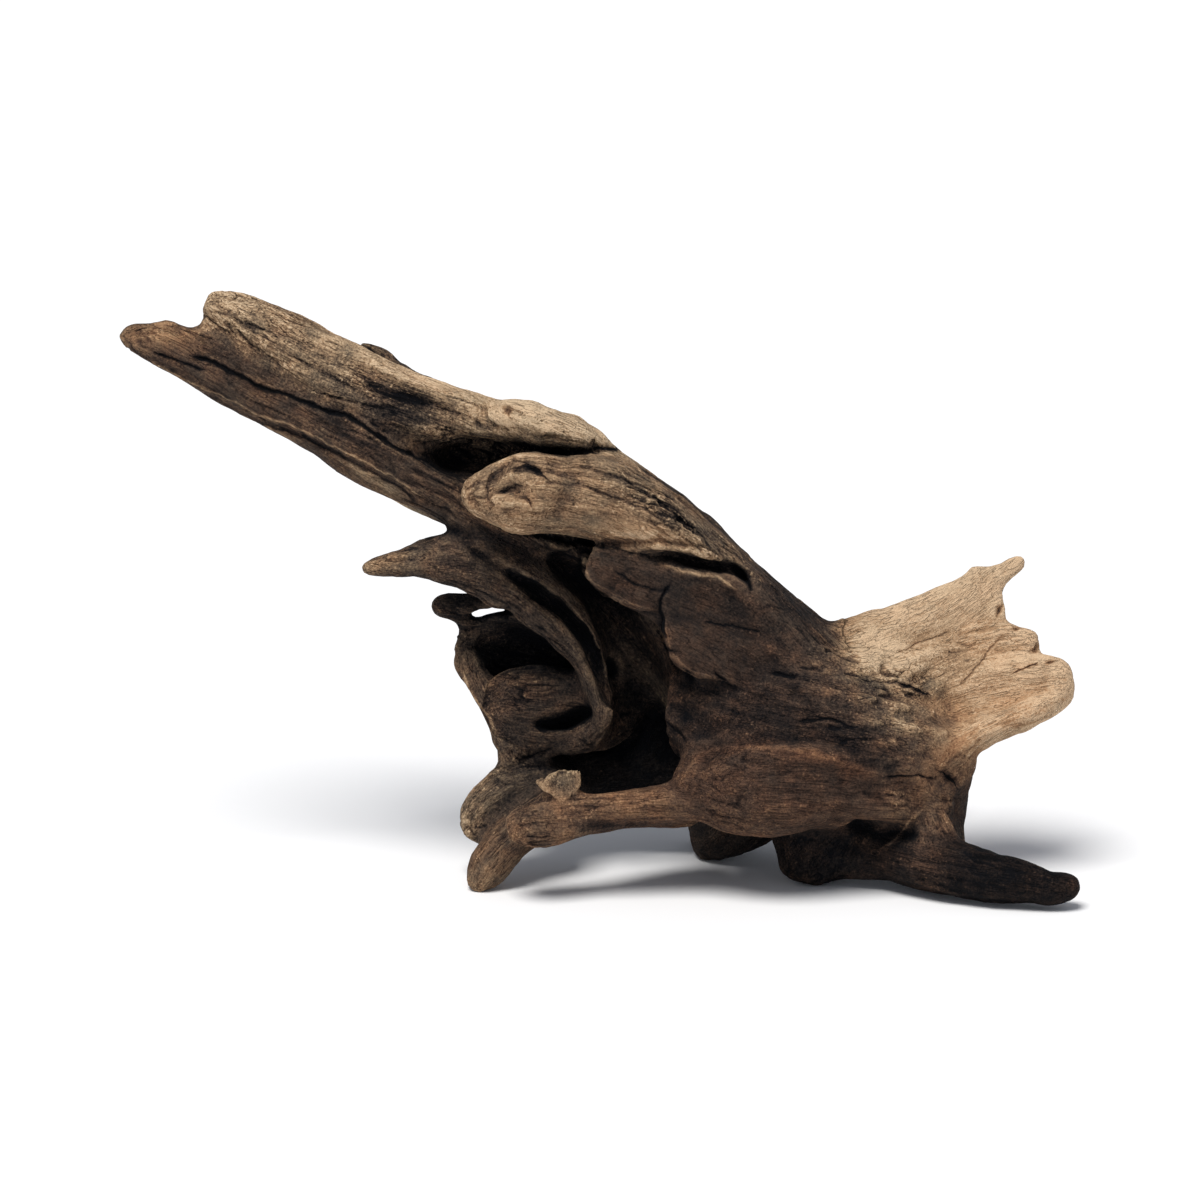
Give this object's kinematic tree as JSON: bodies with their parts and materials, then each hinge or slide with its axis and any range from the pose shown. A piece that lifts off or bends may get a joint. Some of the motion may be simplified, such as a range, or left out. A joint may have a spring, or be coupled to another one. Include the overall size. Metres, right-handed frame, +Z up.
{
  "type": "spiderwood root",
  "caption": "Weathered spiderwood root with a long grooved limb rising to one side, a deep hollow behind a curved rib, a flared fan and blunt feet that it rests on.",
  "frame": {"origin": "middle of the underside of the root's bounding box, on the surface that it rests on", "axes": "+X along the root's length towards the fan, +Y away from the side with the hollow, +Z up"},
  "size_m": [0.3188, 0.1094, 0.1911],
  "materials": {
    "weathered_wood": "bare, dry and matt"
  },
  "bodies": {
    "root": {"spiderwood_root": "weathered_wood"}
  },
  "joints": []
}
